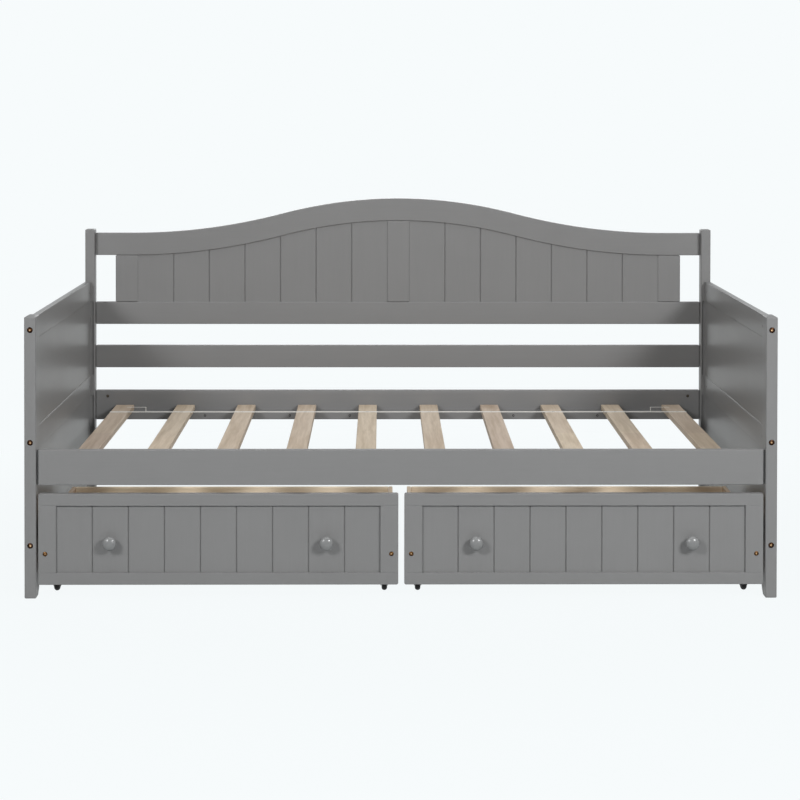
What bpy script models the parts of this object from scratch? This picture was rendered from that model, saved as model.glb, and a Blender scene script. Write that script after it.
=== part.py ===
"""Storage daybed.

A painted wooden daybed for a twin mattress: two panelled ends, an arched back with beadboard,
a slatted base on two ledgers, and two drawers that roll out at the front on fixed casters.

Metres, +Z up. The front faces -Y. The origin is on the floor, under the middle of the whole
piece, whose foremost points are the drawer knobs.
"""
import math

import bmesh
import bpy
from mathutils import Matrix, Vector

# Whole bed
bed_width = 2.004               # over the outer faces of the front posts
bed_depth = 1.080               # front of the front posts to the back of the back posts
fit_gap = 0.0003                # left between pieces that touch
cut_overrun = 0.004             # how far a cutter runs past the face it cuts
weld_distance = 0.00001         # points closer than this become one
sharp_angle = math.radians(35)  # edges sharper than this are rounded

# Posts
post_width = 0.031
post_depth = 0.056
front_post_height = 0.748
back_post_height = 0.9125
post_rounding = 0.003
back_post_width = 0.030
back_post_depth = 0.042
foot_cut_height = 0.027         # the cut corner that faces into the bed, at the floor
foot_cut_depth = 0.023
foot_cut_bulge = 0.002

# Bolts that hold the frame together: counterbores in the posts, barrel-nut holes in the rails
counterbore_diameter = 0.016
counterbore_depth = 0.005
nut_hole_diameter = 0.010
nut_hole_depth = 0.006
nut_to_post = 0.038
bolt_hole_sides = 12

# End frames: rails between a front and a back post, with a panel above and below the middle rail
end_face_inset = 0.004          # rails and back posts inside the outer face of the front posts
end_rail_thickness = 0.0185
end_rail_height = 0.063
end_top_drop = 0.001            # top rail below the top of the front post
end_middle_rail_top = 0.447
end_bottom_rail_top = 0.1725
end_upper_panel_thickness = 0.007
end_lower_panel_thickness = 0.011
end_panel_recess = 0.004        # behind the outer face of the rails
tongue = 0.006                  # how far a panel enters the pieces around it
rail_rounding = 0.0025

# Front and back side rails and what carries the slats
side_rail_height = 0.094
side_rail_thickness = 0.020
side_rail_bottom = 0.302
side_rail_bolt_drop = 0.019     # bolt axis below the top of the rail
front_rail_setback = 0.003      # behind the face of the front posts
ledger_height = 0.022
ledger_depth = 0.040
ledger_rise = 0.008             # ledger above the bottom of the side rail
ledger_end_gap = 0.020

# Slats
slat_count = 10
slat_width = 0.0575
slat_thickness = 0.018
slat_end_gap = 0.006            # between the end of a slat and the side rail
slat_end_margin = 0.095         # back post to the middle of the outermost slat
slat_rounding = 0.002

# Back: crest rail, stiles, beadboards and two open rails
back_board_thickness = 0.020
back_rail_height = 0.071
back_rail_top_shares = (0.333, 0.654)  # of the way from the side rail up to the crest's ends
crest_height = 0.071
crest_drop = 0.0125             # top of the crest's ends below the top of the back posts
arch_rise = 0.111
arch_end_straight = 0.118       # straight length of the crest rail at each back post
arch_crown_share = 0.436        # part of the half span that curves outwards, before the flare
arch_step = 0.038               # longest straight piece of the curve
stile_width = 0.071
outer_stile_gap = 0.064         # open gap between a back post and the outer stile
back_beadboard_thickness = 0.010
back_beadboard_recess = 0.004
back_beadboard_boards = 7
bead_groove_width = 0.004
bead_groove_depth = 0.003

# Drawers
drawer_side_gap = 0.005         # to the front post
drawer_middle_gap = 0.016       # between the two drawers
drawer_top_gap = 0.023          # under the front side rail
drawer_floor_gap = 0.036
drawer_front_setback = 0.002    # behind the face of the front posts
drawer_front_thickness = 0.020
drawer_front_rail_height = 0.032
drawer_front_stile_width = 0.0475
drawer_front_rounding = 0.0025
drawer_beadboard_thickness = 0.009
drawer_beadboard_recess = 0.004
drawer_beadboard_boards = 9
drawer_bolt_diameter = 0.013
drawer_bolt_depth = 0.003
drawer_bolt_inset = 0.0185      # from the side of the drawer front
drawer_bolt_height = 0.1185
box_inset = 0.013               # box side inside the side of the drawer front
box_length = 0.473
box_height = 0.154
box_board_thickness = 0.012
box_rounding = 0.0015
box_floor_thickness = 0.006
box_floor_rise = 0.006          # underside of the floor above the bottom of the sides

# Knobs
knob_diameter = 0.036
knob_length = 0.031
knob_head_length = 0.022
knob_neck_diameter = 0.015
knob_base_diameter = 0.019
knob_base_length = 0.003
knob_height = 0.150
knob_boards_from_edge = 1.5     # boards between the edge of the beadboard and the knob
knob_sides = 20
knob_curve_steps = 7

# Casters: a wheel on a pin, in a fork that is fixed under the drawer floor
wheel_radius = 0.020
wheel_width = 0.015
wheel_crown_height = 0.007      # how far the rounded tread falls away to the sides
wheel_crown_steps = 3
wheel_hub_wall = 0.0042         # around the bore
wheel_web_recess = 0.0015
wheel_sides = 20
wheel_room = 0.0015             # between the tread and the crown of the fork
wheel_side_room = 0.0006        # between the wheel and each cheek of the fork
wheel_pin_room = 0.0003         # between the bore and the pin
fork_crown = 0.0075             # from the room over the wheel up to the plate
fork_cheek_thickness = 0.0025
fork_cheek_length = 0.026       # at the plate
fork_end_radius = 0.008         # round end of the cheeks, about the pin
fork_end_steps = 6
fork_plate_length = 0.042
fork_plate_thickness = 0.003
fork_pin_radius = 0.0025
fork_pin_sides = 12
fork_seat = 0.002               # how far the fork's plate is let into the drawer floor
caster_inset = 0.037            # from the side of the drawer front
caster_setback = 0.068          # from either end of the box

# Places worked out from the sizes above
knob_reach = knob_length - drawer_front_setback - drawer_beadboard_recess
front_y = (knob_reach - bed_depth) / 2
back_y = front_y + bed_depth
front_post_back_y = front_y + post_depth
back_post_front_y = back_y - back_post_depth
front_inner_x = bed_width / 2 - post_width
end_bolt_x = bed_width / 2 - post_width / 2
end_face_x = bed_width / 2 - end_face_inset
end_rail_inner_x = end_face_x - end_rail_thickness
back_inner_x = end_face_x - back_post_width
crest_end_top = back_post_height - crest_drop
arch_half_span = back_inner_x - arch_end_straight
end_top_rail_bottom = front_post_height - end_top_drop - end_rail_height
end_middle_rail_bottom = end_middle_rail_top - end_rail_height
end_bottom_rail_bottom = end_bottom_rail_top - end_rail_height
end_bolt_heights = [
    end_top_rail_bottom + end_rail_height / 2,
    end_middle_rail_bottom + end_rail_height / 2,
    end_bottom_rail_bottom + end_rail_height / 2,
]
side_rail_top = side_rail_bottom + side_rail_height
back_open_height = crest_end_top - crest_height - side_rail_top
back_rail_tops = [side_rail_top + share * back_open_height for share in back_rail_top_shares]
back_upper_rail_top = back_rail_tops[1]
side_rail_bolt_height = side_rail_top - side_rail_bolt_drop
front_rail_front_y = front_y + front_rail_setback
front_rail_back_y = front_rail_front_y + side_rail_thickness
back_side_rail_front_y = back_y - side_rail_thickness
ledger_top = side_rail_bottom + ledger_rise + ledger_height
back_board_front_y = back_y - back_board_thickness
drawer_face_y = front_y + drawer_front_setback
box_front_y = drawer_face_y + drawer_front_thickness
box_back_y = box_front_y + box_length
drawer_front_top = side_rail_bottom - drawer_top_gap
drawer_outer_x = front_inner_x - drawer_side_gap
drawer_inner_x = drawer_middle_gap / 2
fork_pocket_width = wheel_width + 2 * wheel_side_room
fork_width = fork_pocket_width + 2 * fork_cheek_thickness
fork_plate_bottom = 2 * wheel_radius + wheel_room + fork_crown
box_floor_bottom = fork_plate_bottom + fork_plate_thickness
box_bottom = box_floor_bottom - box_floor_rise


# Making and placing pieces

def clear_scene():
    """Take away whatever the file held before."""
    for old in list(bpy.data.objects):
        bpy.data.objects.remove(old, do_unlink=True)


def finish(name, color, roughness, metallic=0.0):
    """A plain Principled material; color is linear red, green and blue."""
    material = bpy.data.materials.new(name)
    material.use_nodes = True
    shader = material.node_tree.nodes["Principled BSDF"]
    shader.inputs["Base Color"].default_value = (*color, 1.0)
    shader.inputs["Roughness"].default_value = roughness
    shader.inputs["Metallic"].default_value = metallic
    return material


def body_empty(name, place):
    """An empty that carries the pieces which move together."""
    empty = bpy.data.objects.new(name, None)
    empty.location = place
    bpy.context.scene.collection.objects.link(empty)
    return empty


def middle_of(mesh):
    """Middle of a bmesh's bounding box."""
    lows = [min(v.co[axis] for v in mesh.verts) for axis in range(3)]
    highs = [max(v.co[axis] for v in mesh.verts) for axis in range(3)]
    return (Vector(lows) + Vector(highs)) / 2


def add_piece(name, mesh, material, body, origin=None):
    """Make an object of a bmesh given in world places, with its origin at its middle or at origin."""
    if origin is None:
        origin = middle_of(mesh)
    bmesh.ops.translate(mesh, vec=-origin, verts=mesh.verts)
    data = bpy.data.meshes.new(name)
    mesh.to_mesh(data)
    mesh.free()
    if material:
        data.materials.append(material)
    piece = bpy.data.objects.new(name, data)
    bpy.context.scene.collection.objects.link(piece)
    piece.parent = body
    piece.location = origin - (body.location if body else Vector())
    return piece


def add_tool(name, mesh):
    """Make a hidden solid that only cuts or completes other pieces."""
    tool = add_piece(name, mesh, None, None)
    tool.hide_render = True
    tool.display_type = "WIRE"
    return tool


def box(low, high):
    """A bmesh block between two corners."""
    low, high = Vector(low), Vector(high)
    mesh = bmesh.new()
    bmesh.ops.create_cube(mesh, size=1.0)
    bmesh.ops.scale(mesh, vec=high - low, verts=mesh.verts)
    bmesh.ops.translate(mesh, vec=(low + high) / 2, verts=mesh.verts)
    return mesh


def grown_box(low, high, margin):
    """A block that is larger by margin on every side."""
    around = Vector((margin, margin, margin))
    return box(Vector(low) - around, Vector(high) + around)


def prism(outline, travel):
    """A bmesh solid made by sweeping a flat outline along travel."""
    mesh = bmesh.new()
    face = mesh.faces.new([mesh.verts.new(point) for point in outline])
    swept = bmesh.ops.extrude_face_region(mesh, geom=[face])["geom"]
    moved = [item for item in swept if isinstance(item, bmesh.types.BMVert)]
    bmesh.ops.translate(mesh, vec=travel, verts=moved)
    bmesh.ops.recalc_face_normals(mesh, faces=mesh.faces)
    return mesh


def turned(profile, axis, sides, place):
    """A bmesh solid turned about a level axis; profile holds (radius, distance along the axis).

    The profile starts straight below the axis, so that a wheel touches the floor with a corner.
    """
    along, downward = Vector(axis), Vector((0, 0, -1))
    mesh = bmesh.new()
    rows = [mesh.verts.new(downward * radius + along * distance) for radius, distance in profile]
    rim = [mesh.edges.new((rows[i], rows[(i + 1) % len(rows)])) for i in range(len(rows))]
    bmesh.ops.spin(mesh, geom=rows + rim, cent=(0, 0, 0), axis=along,
                   angle=math.tau, steps=sides, use_merge=True)
    bmesh.ops.remove_doubles(mesh, verts=mesh.verts, dist=weld_distance)
    bmesh.ops.recalc_face_normals(mesh, faces=mesh.faces)
    bmesh.ops.translate(mesh, vec=place, verts=mesh.verts)
    return mesh


def plugs(places, axis, diameter, depth, sides):
    """A bmesh of equal round plugs, each reaching depth to both sides of its place."""
    turn = Vector((0, 0, 1)).rotation_difference(Vector(axis)).to_matrix().to_4x4()
    mesh = bmesh.new()
    for place in places:
        bmesh.ops.create_cone(mesh, cap_ends=True, segments=sides, radius1=diameter / 2,
                              radius2=diameter / 2, depth=2 * depth,
                              matrix=Matrix.Translation(place) @ turn)
    return mesh


def round_edges(piece, width, segments=2):
    """Round the sharp edges of a piece."""
    bevel = piece.modifiers.new("rounded edges", "BEVEL")
    bevel.width = width
    bevel.segments = segments
    bevel.limit_method = "ANGLE"
    bevel.angle_limit = sharp_angle


def combine(piece, tool, operation):
    """Cut a hidden tool out of a piece, or join it to the piece."""
    step = piece.modifiers.new(operation.lower() + " " + tool.name, "BOOLEAN")
    step.operation = operation
    step.object = tool
    step.solver = "EXACT"


def board(name, low, high, material, body, rounding, segments=1):
    """A straight board between two corners, with rounded edges."""
    piece = add_piece(name, box(low, high), material, body)
    round_edges(piece, rounding, segments)
    return piece


def across(side, outer, inner):
    """Low and high x of what lies between two distances from the middle, on one side of the bed."""
    return min(side * outer, side * inner), max(side * outer, side * inner)


def drill(piece, places, axis, diameter, depth):
    """Round blind holes in a piece; each place lies on the face, axis points along the hole."""
    tool = add_tool("cutter_holes_" + piece.name + "_" + str(len(piece.modifiers)),
                    plugs(places, axis, diameter, depth, bolt_hole_sides))
    combine(piece, tool, "DIFFERENCE")


# Shapes of the back

def arch_at(x):
    """Height of the arch above the straight ends of the crest rail, at x."""
    reach = abs(x)
    slope = 2 * arch_rise / arch_half_span
    crown = arch_crown_share * arch_half_span
    if reach <= crown:
        return arch_rise - slope * reach ** 2 / (2 * crown)
    if reach < arch_half_span:
        return slope * (arch_half_span - reach) ** 2 / (2 * (arch_half_span - crown))
    return 0.0


def crest_top_at(x):
    return crest_end_top + arch_at(x)


def crest_bottom_at(x):
    return crest_top_at(x) - crest_height


def stations(start, end):
    """Places along x, close enough together for the arch to look round."""
    count = max(1, math.ceil((end - start) / arch_step))
    return [start + (end - start) * i / count for i in range(count + 1)]


def under_crest(x_range, bottom, lift, y):
    """Outline of a piece that stands on bottom and follows the underside of the crest rail."""
    places = stations(*x_range)
    foot = [(places[0], y, bottom), (places[-1], y, bottom)]
    return foot + [(x, y, crest_bottom_at(x) + lift) for x in reversed(places)]


def bead_plan(x_range, board_edges, face_y, thickness, z):
    """Plan outline of a beadboard: a flat back and a V groove at each joint of its boards."""
    left, right = x_range
    front = [(left, face_y, z)]
    for x in board_edges:
        front.append((x - bead_groove_width / 2, face_y, z))
        front.append((x, face_y + bead_groove_depth, z))
        front.append((x + bead_groove_width / 2, face_y, z))
    front.append((right, face_y, z))
    return front + [(right, face_y + thickness, z), (left, face_y + thickness, z)]


def board_joints(left, right, boards):
    """x of the joints between equal boards that fill left to right."""
    return [left + (right - left) * i / boards for i in range(1, boards)]


# Posts

def post_outline(x, face_y, inner_y, height):
    """Side outline of a post; the foot's corner on the inner_y side is cut away."""
    inward = math.copysign(1, inner_y - face_y)
    cut_start = Vector((x, inner_y, foot_cut_height))
    cut_end = Vector((x, inner_y - inward * foot_cut_depth, 0))
    outward = Vector((0, inward * foot_cut_height, -foot_cut_depth)).normalized()
    middle = (cut_start + cut_end) / 2 + outward * foot_cut_bulge
    return [(x, face_y, 0), (x, face_y, height), (x, inner_y, height), cut_start, middle, cut_end]


def make_post(name, side, x_range, face_y, inner_y, height, material, body):
    """One post, bored for the bolts that run into the end rails and into the side rails."""
    low_x, high_x = across(side, *x_range)
    mesh = prism(post_outline(low_x, face_y, inner_y, height), (high_x - low_x, 0, 0))
    post = add_piece(name, mesh, material, body)
    round_edges(post, post_rounding)
    drill(post, [(side * end_bolt_x, face_y, z) for z in end_bolt_heights], (0, 1, 0),
          counterbore_diameter, counterbore_depth)
    return post


def make_posts(side, word, paint, body):
    """The front and the back post of one end, returned as a pair."""
    front = make_post("front_post_" + word, side, (bed_width / 2, front_inner_x), front_y,
                      front_post_back_y, front_post_height, paint, body)
    back = make_post("back_post_" + word, side, (end_face_x, back_inner_x), back_y,
                     back_post_front_y, back_post_height, paint, body)
    front_bolt_y = front_rail_back_y - side_rail_thickness / 2
    back_bolt_y = back_y - back_board_thickness / 2
    drill(front, [(side * bed_width / 2, front_bolt_y, side_rail_bolt_height)], (1, 0, 0),
          counterbore_diameter, counterbore_depth)
    back_bolt_heights = [
        side_rail_bolt_height,
        *[top - back_rail_height / 2 for top in back_rail_tops],
        crest_end_top - crest_height / 2,
    ]
    drill(back, [(side * end_face_x, back_bolt_y, z) for z in back_bolt_heights], (1, 0, 0),
          counterbore_diameter, counterbore_depth)
    return front, back


# Ends

def make_end_rail(name, side, bottom, material, body):
    """A rail of an end frame, with a barrel-nut hole near each post on its inner face."""
    low_x, high_x = across(side, end_face_x, end_rail_inner_x)
    start, end = front_post_back_y + fit_gap, back_post_front_y - fit_gap
    rail = board(name, (low_x, start, bottom), (high_x, end, bottom + end_rail_height),
                 material, body, rail_rounding)
    inner_x = side * end_rail_inner_x
    middle = bottom + end_rail_height / 2
    drill(rail, [(inner_x, start + nut_to_post, middle), (inner_x, end - nut_to_post, middle)],
          (1, 0, 0), nut_hole_diameter, nut_hole_depth)
    return rail


def make_end_panel(name, side, bottom, top, thickness, around, material, body):
    """A panel let into the pieces around it; bottom and top are the edges of its rails."""
    outer = end_face_x - end_panel_recess
    low_x, high_x = across(side, outer, outer - thickness)
    low = (low_x, front_post_back_y - tongue, bottom - tongue)
    high = (high_x, back_post_front_y + tongue, top + tongue)
    panel = add_piece(name, box(low, high), material, body)
    groove = add_tool("cutter_" + name, grown_box(low, high, fit_gap))
    for piece in around:
        combine(piece, groove, "DIFFERENCE")
    return panel


def make_end(side, word, posts, paint, body):
    """Three rails and two panels between the posts of one end."""
    top_rail = make_end_rail("end_top_rail_" + word, side, end_top_rail_bottom, paint, body)
    middle_rail = make_end_rail("end_middle_rail_" + word, side, end_middle_rail_bottom, paint, body)
    bottom_rail = make_end_rail("end_bottom_rail_" + word, side, end_bottom_rail_bottom, paint, body)
    make_end_panel("end_upper_panel_" + word, side, end_middle_rail_top, end_top_rail_bottom,
                   end_upper_panel_thickness, [top_rail, middle_rail, *posts], paint, body)
    make_end_panel("end_lower_panel_" + word, side, end_bottom_rail_top, end_middle_rail_bottom,
                   end_lower_panel_thickness, [middle_rail, bottom_rail, *posts], paint, body)


# Back

def make_back_rail(name, top, height, thickness, material, body):
    """A straight rail between the back posts, flush with their backs."""
    half = back_inner_x - fit_gap
    return board(name, (-half, back_y - thickness, top - height), (half, back_y, top),
                 material, body, rail_rounding)


def make_crest(paint, body):
    """The arched top rail: one board whose upper and lower edges follow the same curve."""
    half = back_inner_x - fit_gap
    places = stations(-half, half)
    outline = [(x, back_board_front_y, crest_bottom_at(x)) for x in places]
    outline += [(x, back_board_front_y, crest_top_at(x)) for x in reversed(places)]
    crest = add_piece("crest_rail", prism(outline, (0, back_board_thickness, 0)), paint, body)
    round_edges(crest, rail_rounding)
    return crest


def make_stile(name, left, paint, body):
    """An upright between the upper back rail and the crest rail, cut to the curve at its top."""
    outline = under_crest((left, left + stile_width), back_upper_rail_top + fit_gap, -fit_gap,
                          back_board_front_y)
    stile = add_piece(name, prism(outline, (0, back_board_thickness, 0)), paint, body)
    round_edges(stile, rail_rounding, 1)
    return stile


def make_back_beadboard(name, left, right, around, paint, body):
    """Grooved boards under the arch, let into the stiles, the crest rail and the rail below."""
    face_y = back_board_front_y + back_beadboard_recess
    low_z = back_upper_rail_top - tongue
    edges = (left - tongue, right + tongue)
    highest = crest_end_top + arch_rise
    plan = bead_plan(edges, board_joints(left, right, back_beadboard_boards), face_y,
                     back_beadboard_thickness, low_z)
    beadboard = add_piece(name, prism(plan, (0, 0, highest - low_z)), paint, body)
    places = stations(edges[0] - cut_overrun, edges[1] + cut_overrun)
    waste_y = face_y - cut_overrun
    waste = [(x, waste_y, crest_bottom_at(x) + tongue) for x in places]
    waste += [(places[-1], waste_y, highest + cut_overrun), (places[0], waste_y, highest + cut_overrun)]
    waste_depth = back_beadboard_thickness + 2 * cut_overrun
    combine(beadboard, add_tool("cutter_top_" + name, prism(waste, (0, waste_depth, 0))),
            "DIFFERENCE")
    room = under_crest((edges[0] - fit_gap, edges[1] + fit_gap), low_z - fit_gap,
                       tongue + fit_gap, face_y - fit_gap)
    groove = add_tool("cutter_" + name,
                      prism(room, (0, back_beadboard_thickness + 2 * fit_gap, 0)))
    for piece in around:
        combine(piece, groove, "DIFFERENCE")


def make_back(paint, body):
    """Crest rail, stiles, beadboards, two open rails and the back side rail."""
    crest = make_crest(paint, body)
    lower_top, upper_top = back_rail_tops
    make_back_rail("back_lower_rail", lower_top, back_rail_height, back_board_thickness, paint, body)
    upper = make_back_rail("back_upper_rail", upper_top, back_rail_height, back_board_thickness,
                           paint, body)
    side_rail = make_back_rail("back_side_rail", side_rail_top, side_rail_height,
                               side_rail_thickness, paint, body)
    nut_x = back_inner_x - nut_to_post
    drill(side_rail, [(x, back_side_rail_front_y, side_rail_bolt_height) for x in (-nut_x, nut_x)],
          (0, 1, 0), nut_hole_diameter, nut_hole_depth)
    outer_x = back_inner_x - outer_stile_gap
    left_stile = make_stile("back_stile_left", -outer_x, paint, body)
    middle_stile = make_stile("back_stile_middle", -stile_width / 2, paint, body)
    right_stile = make_stile("back_stile_right", outer_x - stile_width, paint, body)
    inner_x = outer_x - stile_width
    make_back_beadboard("back_beadboard_left", -inner_x, -stile_width / 2,
                        [crest, upper, left_stile, middle_stile], paint, body)
    make_back_beadboard("back_beadboard_right", stile_width / 2, inner_x,
                        [crest, upper, middle_stile, right_stile], paint, body)


# Base: front side rail, ledgers and slats

def make_base(paint, raw_wood, body):
    """The front side rail, a ledger on each side rail, and the slats that lie on the ledgers."""
    half = front_inner_x - fit_gap
    front_rail = board("front_side_rail", (-half, front_rail_front_y, side_rail_bottom),
                       (half, front_rail_back_y, side_rail_top), paint, body, rail_rounding, 2)
    nut_x = front_inner_x - nut_to_post
    drill(front_rail, [(x, front_rail_back_y, side_rail_bolt_height) for x in (-nut_x, nut_x)],
          (0, 1, 0), nut_hole_diameter, nut_hole_depth)
    ledger_x = back_inner_x - ledger_end_gap
    ledger_bottom = side_rail_bottom + ledger_rise
    front_start = front_rail_back_y + fit_gap
    back_end = back_side_rail_front_y - fit_gap
    for name, start in (("ledger_front", front_start), ("ledger_back", back_end - ledger_depth)):
        board(name, (-ledger_x, start, ledger_bottom), (ledger_x, start + ledger_depth, ledger_top),
              paint, body, slat_rounding)
    reach = back_inner_x - slat_end_margin
    slat_bottom = ledger_top + fit_gap
    for i in range(slat_count):
        middle = -reach + 2 * reach * i / (slat_count - 1)
        low = (middle - slat_width / 2, front_rail_back_y + slat_end_gap, slat_bottom)
        high = (middle + slat_width / 2, back_side_rail_front_y - slat_end_gap,
                slat_bottom + slat_thickness)
        board("slat_%02d" % (i + 1), low, high, raw_wood, body, slat_rounding)


# Drawers

def make_fork(name, x, y):
    """A hidden solid of one caster fork: a plate and two cheeks that carry the wheel's pin."""
    top = box_floor_bottom + fork_seat
    left = x - fork_width / 2
    round_end = []
    for i in range(fork_end_steps + 1):
        angle = math.pi * i / fork_end_steps
        round_end.append((left, y + fork_end_radius * math.cos(angle),
                          wheel_radius - fork_end_radius * math.sin(angle)))
    outline = [
        (left, y - fork_cheek_length / 2, fork_plate_bottom),
        (left, y - fork_plate_length / 2, fork_plate_bottom),
        (left, y - fork_plate_length / 2, top),
        (left, y + fork_plate_length / 2, top),
        (left, y + fork_plate_length / 2, fork_plate_bottom),
        (left, y + fork_cheek_length / 2, fork_plate_bottom),
        *round_end,
    ]
    fork = add_tool(name, prism(outline, (fork_width, 0, 0)))
    axle = [(x, y, wheel_radius)]
    pocket = plugs(axle, (1, 0, 0), 2 * (wheel_radius + wheel_room), fork_pocket_width / 2,
                   wheel_sides)
    combine(fork, add_tool("cutter_pocket_" + name, pocket), "DIFFERENCE")
    pin_half = (fork_pocket_width + fork_cheek_thickness) / 2
    pin = plugs(axle, (1, 0, 0), 2 * fork_pin_radius, pin_half, fork_pin_sides)
    combine(fork, add_tool("pin_" + name, pin), "UNION")
    return fork


def make_wheel(name, x, y, rubber, body):
    """A small wheel with a bore, hubs, sunk sides and a crowned tread, with its origin on its axle."""
    half = wheel_width / 2
    bore_radius = fork_pin_radius + wheel_pin_room
    hub_radius = bore_radius + wheel_hub_wall
    outer = [
        (bore_radius, half),
        (hub_radius, half),
        (hub_radius + wheel_web_recess, half - wheel_web_recess),
    ]
    for i in range(wheel_crown_steps):
        angle = math.pi / 2 * i / wheel_crown_steps
        outer.append((wheel_radius - wheel_crown_height * (1 - math.sin(angle)), half * math.cos(angle)))
    profile = outer + [(wheel_radius, 0)]
    profile += [(radius, -distance) for radius, distance in reversed(outer)]
    axle = Vector((x, y, wheel_radius))
    mesh = turned(profile, (1, 0, 0), wheel_sides, axle)
    wheel = add_piece(name, mesh, rubber, body, axle)
    wheel.data.shade_smooth()
    wheel.data.set_sharp_from_angle(angle=sharp_angle)


def make_knob(name, x, paint, body):
    """A round wooden knob: a small foot, a neck and a domed head."""
    seat_y = drawer_face_y + drawer_beadboard_recess - fit_gap
    head_half = knob_head_length / 2
    head_middle = knob_length - fit_gap - head_half
    neck = knob_neck_diameter / 2
    start = math.asin(neck / (knob_diameter / 2))
    profile = [(0, 0), (knob_base_diameter / 2, 0), (neck, knob_base_length)]
    for i in range(knob_curve_steps):
        angle = start + (math.pi - start) * i / knob_curve_steps
        profile.append((knob_diameter / 2 * math.sin(angle),
                        head_middle - head_half * math.cos(angle)))
    profile.append((0, head_middle + head_half))
    place = Vector((x, seat_y, knob_height))
    knob = add_piece(name, turned(profile, (0, -1, 0), knob_sides, place), paint, body, place)
    knob.data.shade_smooth()
    knob.data.set_sharp_from_angle(angle=sharp_angle)


def make_drawer_front(word, x_range, paint, body):
    """The framed front and the beadboard that fills it; returns the frame."""
    left, right = x_range
    bottom, top = drawer_floor_gap, drawer_front_top
    frame = add_piece("drawer_%s_front_frame" % word,
                      box((left, drawer_face_y, bottom), (right, box_front_y, top)), paint, body)
    round_edges(frame, drawer_front_rounding)
    panel_left, panel_right = left + drawer_front_stile_width, right - drawer_front_stile_width
    panel_low, panel_high = bottom + drawer_front_rail_height, top - drawer_front_rail_height
    window = add_tool("cutter_window_" + word,
                      box((panel_left, drawer_face_y - cut_overrun, panel_low),
                          (panel_right, box_front_y + cut_overrun, panel_high)))
    combine(frame, window, "DIFFERENCE")
    face_y = drawer_face_y + drawer_beadboard_recess
    low = (panel_left - tongue, face_y, panel_low - tongue)
    high = (panel_right + tongue, face_y + drawer_beadboard_thickness, panel_high + tongue)
    joints = board_joints(panel_left, panel_right, drawer_beadboard_boards)
    plan = bead_plan((low[0], high[0]), joints, face_y, drawer_beadboard_thickness, low[2])
    add_piece("drawer_%s_beadboard" % word, prism(plan, (0, 0, high[2] - low[2])), paint, body)
    combine(frame, add_tool("cutter_beadboard_" + word, grown_box(low, high, fit_gap)), "DIFFERENCE")
    bolts = [(x, drawer_face_y, drawer_bolt_height)
             for x in (left + drawer_bolt_inset, right - drawer_bolt_inset)]
    drill(frame, bolts, (0, 1, 0), drawer_bolt_diameter, drawer_bolt_depth)
    board_width = (panel_right - panel_left) / drawer_beadboard_boards
    knob_shift = knob_boards_from_edge * board_width
    make_knob("drawer_%s_knob_left" % word, panel_left + knob_shift, paint, body)
    make_knob("drawer_%s_knob_right" % word, panel_right - knob_shift, paint, body)
    return frame


def make_drawer_box(word, x_range, frame, raw_wood, body):
    """Sides, back and floor behind the front; the floor carries the four caster forks."""
    left, right = x_range[0] + box_inset, x_range[1] - box_inset
    top = box_bottom + box_height
    start = box_front_y + fit_gap
    side_left = board("drawer_%s_side_left" % word, (left, start, box_bottom),
                      (left + box_board_thickness, box_back_y, top), raw_wood, body, box_rounding)
    side_right = board("drawer_%s_side_right" % word, (right - box_board_thickness, start, box_bottom),
                       (right, box_back_y, top), raw_wood, body, box_rounding)
    inner_left, inner_right = left + box_board_thickness, right - box_board_thickness
    inner_back_y = box_back_y - box_board_thickness
    back = board("drawer_%s_back" % word, (inner_left + fit_gap, inner_back_y, box_bottom),
                 (inner_right - fit_gap, box_back_y, top), raw_wood, body, box_rounding)
    low = (inner_left - tongue, box_front_y - tongue, box_floor_bottom)
    high = (inner_right + tongue, inner_back_y + tongue, box_floor_bottom + box_floor_thickness)
    floor = add_piece("drawer_%s_floor" % word, box(low, high), raw_wood, body)
    groove = add_tool("cutter_floor_" + word, grown_box(low, high, fit_gap))
    for piece in (frame, side_left, side_right, back):
        combine(piece, groove, "DIFFERENCE")
    return floor


def make_casters(word, x_range, floor, rubber, body):
    """Four fixed casters: forks joined to the drawer floor, and a wheel on the pin of each."""
    side_places = {"left": x_range[0] + caster_inset, "right": x_range[1] - caster_inset}
    depth_places = {"front": box_front_y + caster_setback, "back": box_back_y - caster_setback}
    for depth_word, y in depth_places.items():
        for side_word, x in side_places.items():
            combine(floor, make_fork("fork_%s_%s_%s" % (word, depth_word, side_word), x, y), "UNION")
            make_wheel("drawer_%s_wheel_%s_%s" % (word, depth_word, side_word), x, y, rubber, body)


def make_drawer(side, word, paint, raw_wood, rubber):
    """One drawer with its own empty, which slides along -Y."""
    x_range = across(side, drawer_outer_x, drawer_inner_x)
    middle = (x_range[0] + x_range[1]) / 2
    body = body_empty("drawer_%s_slide" % word, (middle, box_front_y, 0))
    frame = make_drawer_front(word, x_range, paint, body)
    floor = make_drawer_box(word, x_range, frame, raw_wood, body)
    make_casters(word, x_range, floor, rubber, body)


def build():
    """Build the whole daybed."""
    clear_scene()
    paint = finish("satin grey paint", (0.225, 0.229, 0.229), 0.42)
    raw_wood = finish("raw pine", (0.48, 0.37, 0.26), 0.65)
    rubber = finish("black plastic", (0.012, 0.012, 0.012), 0.5)
    frame = body_empty("bed_frame", (0, 0, 0))
    for side, word in ((-1, "left"), (1, "right")):
        posts = make_posts(side, word, paint, frame)
        make_end(side, word, posts, paint, frame)
    make_back(paint, frame)
    make_base(paint, raw_wood, frame)
    for side, word in ((-1, "left"), (1, "right")):
        make_drawer(side, word, paint, raw_wood, rubber)


build()
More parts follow.
